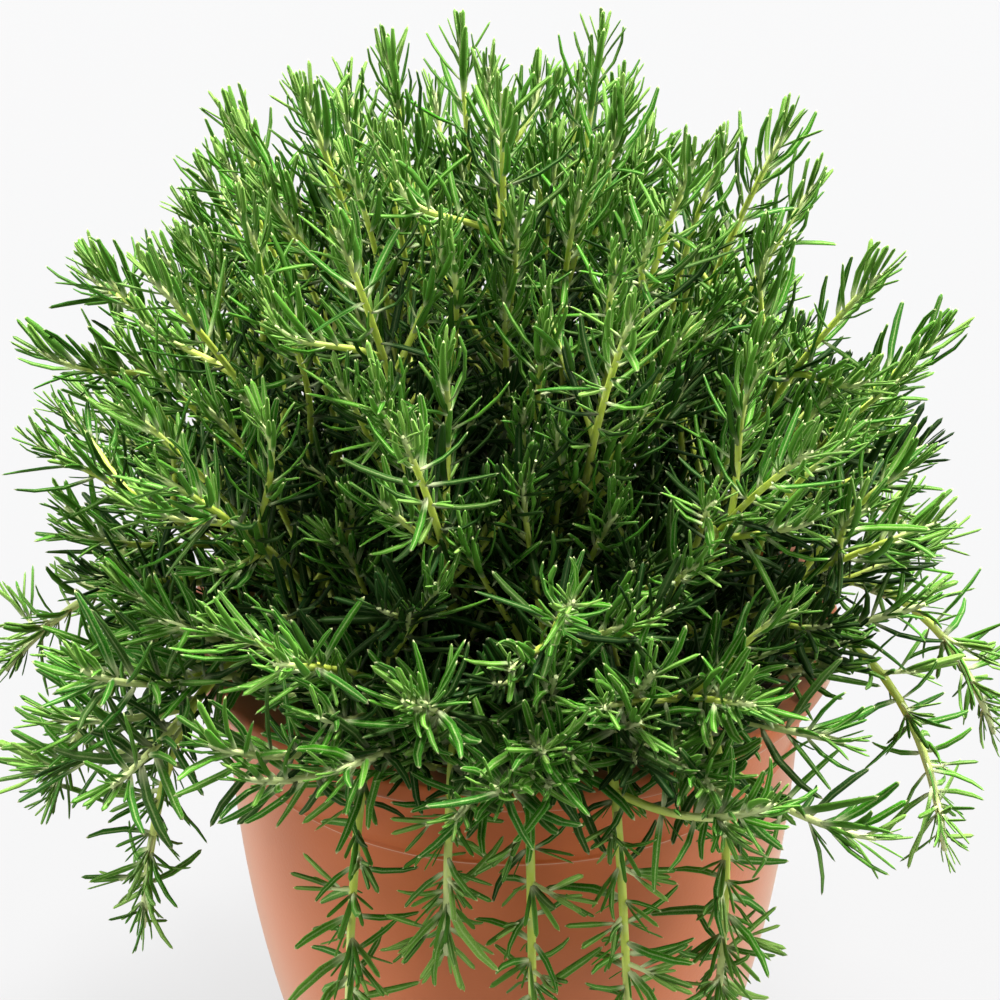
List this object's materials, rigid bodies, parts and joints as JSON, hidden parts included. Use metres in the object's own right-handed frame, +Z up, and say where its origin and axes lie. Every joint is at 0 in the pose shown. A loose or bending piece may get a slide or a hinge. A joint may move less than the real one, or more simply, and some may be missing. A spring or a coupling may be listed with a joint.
{
  "type": "potted rosemary plant",
  "caption": "Dense rosemary plant with needle leaves and stems that trail over the rim, in a round lipped nursery pot filled with soil; stands on its flat base.",
  "frame": {"origin": "centre of the pot's flat underside, on the surface the pot stands on", "axes": "+Z up along the pot's axis, -Y towards the front with the hanging stems, +X to the right seen from the front"},
  "size_m": [0.3658, 0.3344, 0.4044],
  "materials": {
    "pot_plastic": "satin moulded plastic, terracotta coloured",
    "potting_soil": "loose dark bark and peat crumbs",
    "rosemary_foliage": "dark green needles with a waxy upper face and a pale felted underside, yellow green stems"
  },
  "bodies": {
    "root": {"pot": "pot_plastic", "soil": "potting_soil", "leafy_stem_01": "rosemary_foliage", "leafy_stem_02": "rosemary_foliage", "leafy_stem_03": "rosemary_foliage", "leafy_stem_04": "rosemary_foliage", "leafy_stem_05": "rosemary_foliage", "leafy_stem_06": "rosemary_foliage", "leafy_stem_07": "rosemary_foliage", "leafy_stem_08": "rosemary_foliage", "leafy_stem_09": "rosemary_foliage", "leafy_stem_10": "rosemary_foliage", "leafy_stem_11": "rosemary_foliage", "leafy_stem_12": "rosemary_foliage", "leafy_stem_13": "rosemary_foliage", "leafy_stem_14": "rosemary_foliage", "leafy_stem_15": "rosemary_foliage", "leafy_stem_16": "rosemary_foliage", "leafy_stem_17": "rosemary_foliage", "leafy_stem_18": "rosemary_foliage", "leafy_stem_19": "rosemary_foliage", "leafy_stem_20": "rosemary_foliage", "leafy_stem_21": "rosemary_foliage", "leafy_stem_22": "rosemary_foliage", "leafy_stem_23": "rosemary_foliage", "leafy_stem_24": "rosemary_foliage", "leafy_stem_25": "rosemary_foliage", "leafy_stem_26": "rosemary_foliage", "leafy_stem_27": "rosemary_foliage", "leafy_stem_28": "rosemary_foliage", "leafy_stem_29": "rosemary_foliage", "leafy_stem_30": "rosemary_foliage", "trailing_stem_01": "rosemary_foliage", "trailing_stem_02": "rosemary_foliage", "trailing_stem_03": "rosemary_foliage", "trailing_stem_04": "rosemary_foliage", "trailing_stem_05": "rosemary_foliage", "trailing_stem_06": "rosemary_foliage", "trailing_stem_07": "rosemary_foliage", "trailing_stem_08": "rosemary_foliage", "trailing_stem_09": "rosemary_foliage", "trailing_stem_10": "rosemary_foliage", "trailing_stem_11": "rosemary_foliage", "trailing_stem_12": "rosemary_foliage", "trailing_stem_13": "rosemary_foliage", "trailing_stem_14": "rosemary_foliage", "trailing_stem_15": "rosemary_foliage", "trailing_stem_16": "rosemary_foliage"}
  },
  "joints": []
}
